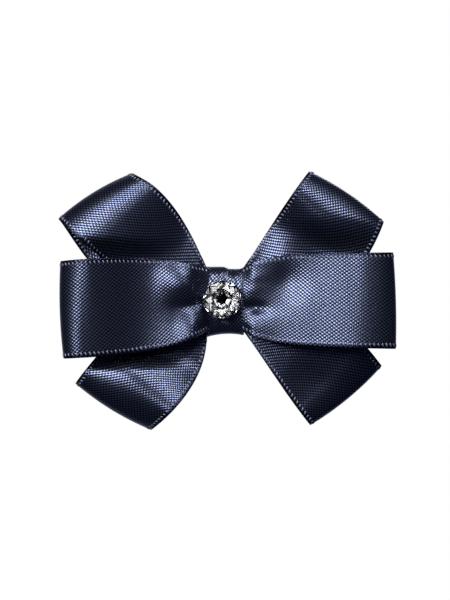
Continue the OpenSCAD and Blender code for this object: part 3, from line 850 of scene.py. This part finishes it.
glass, nodes, shader = new_material("cut_glass")
place = nodes.add("ShaderNodeTexCoord", output="Object")
polish = nodes.noise(place, 900.0)
finish_shader(nodes, shader, Base_Color=nodes.mix_colour(polish, (0.97, 0.98, 1.0, 1), (1, 1, 1, 1)),
              Roughness=polish * 0.02, Transmission_Weight=1.0, IOR=1.56)
foil, nodes, shader = new_material("mirror_foil")
place = nodes.add("ShaderNodeTexCoord", output="Object")
grain = nodes.noise(place, 1500.0)
finish_shader(nodes, shader, Base_Color=nodes.mix_colour(grain, (0.78, 0.78, 0.80, 1), (0.93, 0.93, 0.94, 1)),
              Metallic=1.0, Roughness=0.04 + grain * 0.08)

shape = bmesh.new()
table = ring_of(shape, SIDES, TABLE_R, TABLE_Y, 0)
star = ring_of(shape, SIDES, STAR_R, TABLE_Y + STAR_DROP, 0.5)
front_girdle = ring_of(shape, 2 * SIDES, GIRDLE_R, GIRDLE_FRONT, 0)
back_girdle = ring_of(shape, 2 * SIDES, GIRDLE_R, GIRDLE_BACK, 0)
shape.faces.new(table)
cut_facets(shape, table, star, front_girdle)
for i in range(2 * SIDES):
    after = (i + 1) % (2 * SIDES)
    shape.faces.new([front_girdle[i], front_girdle[after], back_girdle[after], back_girdle[i]])
shape.faces.new(back_of_stone(shape, 0, back_girdle))
stone = finished("cut_stone", shape, glass)
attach(stone, "bow")
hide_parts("stone")

shape = bmesh.new()
rim = ring_of(shape, 2 * SIDES, GIRDLE_R + 0.04, GIRDLE_BACK + FOIL_GAP, 0)
shape.faces.new(back_of_stone(shape, FOIL_GAP, rim))
backing = finished("stone_foil_backing", shape, foil)
wall = backing.modifiers.new("wall", "SOLIDIFY")
wall.thickness = 0.05 * MM
wall.offset = 1.0
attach(backing, "bow")
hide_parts("stone_foil")


# Clip: a sprung hair clip of nickel-plated sheet steel. The arm and the toothed jaw are pressed,
# with edges rounded by tumbling, and turn on a headed rivet.
def plated_steel(name, colour, roughness):
    material, nodes, shader = new_material(name)
    place = nodes.add("ShaderNodeTexCoord", output="Object")
    x = nodes.part(place, 0) * 1000
    y = nodes.part(place, 1) * 1000
    z = nodes.part(place, 2) * 1000
    brushing = nodes.noise(nodes.vector(x * 0.35, y * 6.0, z * 6.0), 1.0, 4.0)
    stains = nodes.noise(nodes.vector(x, y, z), 0.28, 3.0)
    tone = brushing * 0.6 + stains * 0.4
    dark = tuple(0.72 * part for part in colour) + (1,)
    light = colour + (1,)
    bump = nodes.add("ShaderNodeBump", {}, {"Strength": 0.25, "Distance": 0.02 * MM, "Height": brushing})
    finish_shader(nodes, shader, Base_Color=nodes.mix_colour(tone.above(0.5, 0.7), dark, light), Metallic=1.0,
                  Roughness=roughness + stains * 0.16 + brushing * 0.08, Normal=bump)
    return material


def rounded_copy(name, node, width, material):
    """A copy of a CAD node with its sharp edges slightly rounded."""
    shape = bmesh.new()
    shape.from_mesh(frame["nodes"][node].data)
    bmesh.ops.remove_doubles(shape, verts=shape.verts, dist=2e-6)
    bmesh.ops.dissolve_limit(shape, angle_limit=math.radians(1.0), verts=shape.verts, edges=shape.edges)
    piece = finished(name, shape, material)
    for face in piece.data.polygons:
        face.use_smooth = True
    piece.data.set_sharp_from_angle(angle=math.radians(30))
    bevel = piece.modifiers.new("rounded_edges", "BEVEL")
    bevel.width = width
    bevel.segments = 2
    bevel.limit_method = "ANGLE"
    bevel.angle_limit = math.radians(35)
    bevel.harden_normals = True
    return piece


sheet_steel = plated_steel("nickel_plate", (0.70, 0.70, 0.71), 0.20)
for name, node, body in (("clip_arm_plated", "clip_arm", "bow"), ("clip_jaw_plated", "clip_jaw", "jaw")):
    plate = rounded_copy(name, node, 0.10 * MM, sheet_steel)
    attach(plate, body)
    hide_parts(node)
rivet_steel = plated_steel("rivet_plate", (0.60, 0.60, 0.62), 0.28)
rivet = rounded_copy("clip_rivet", "clip_pin", 0.12 * MM, rivet_steel)
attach(rivet, "bow")
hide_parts("clip_pin")


# Spring: drawn wire, coiled three and a half turns round the rivet, with one leg on the arm's
# tail and one on the jaw's.
def spring_tree():
    """A round wire whose first and last points are the legs' ends and whose rest is a coil."""
    nodes, given = new_tree("coiled_spring", {
        "Points": "Int", "Turns": "Float", "Coil Radius": "Float", "Coil Length": "Float",
        "Wire Radius": "Float", "Hinge": "Vector", "Jaw Leg": "Vector", "Arm Leg": "Vector",
        "Steel": "Material"}, "Spring")
    count = given["Points"]
    index = nodes.add("GeometryNodeInputIndex")
    part = (index - 1) / (count - 3)
    angle = part * given["Turns"] * (2 * math.pi)
    coil = nodes.vector(angle.sin() * given["Coil Radius"], angle.cos() * given["Coil Radius"],
                        (part - 0.5) * given["Coil Length"])
    coil = nodes.add("ShaderNodeVectorMath", {"operation": "ADD"}, {0: coil, 1: given["Hinge"]})
    first = index.math("LESS_THAN", 0.5)
    last = index.math("GREATER_THAN", count - 1.5)
    place = nodes.add("ShaderNodeMix", {"data_type": "VECTOR"}, {0: first, 4: coil, 5: given["Jaw Leg"]}, 1)
    place = nodes.add("ShaderNodeMix", {"data_type": "VECTOR"}, {0: last, 4: place, 5: given["Arm Leg"]}, 1)
    wire = round_wire(nodes, count, place, 14, given["Wire Radius"])
    smooth = nodes.add("GeometryNodeSetShadeSmooth", {}, {"Geometry": wire})
    return finish_tree(nodes, smooth, given["Steel"])


spring_low, spring_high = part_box("clip_spring")
hinge = Vector(frame["joints"][0]["pos_m"])
WIRE_R = 0.35 * MM
COIL_R = 1.5 * MM
LEG_X = -19.0 * MM
COIL_L = spring_high.z - spring_low.z - 2 * WIRE_R
jaw_leg_y = spring_high.y - WIRE_R
arm_leg_y = spring_low.y + WIRE_R
spring = grown("coil_spring", spring_tree(), bpy.data.meshes.new("spring_base"), {
    "Points": 122, "Turns": 3.5, "Coil Radius": COIL_R, "Coil Length": COIL_L, "Wire Radius": WIRE_R,
    "Hinge": hinge, "Jaw Leg": (LEG_X, jaw_leg_y, -COIL_L / 2), "Arm Leg": (LEG_X, arm_leg_y, COIL_L / 2),
    "Steel": plated_steel("drawn_wire", (0.56, 0.56, 0.58), 0.24)})
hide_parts("clip_spring")
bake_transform(spring)
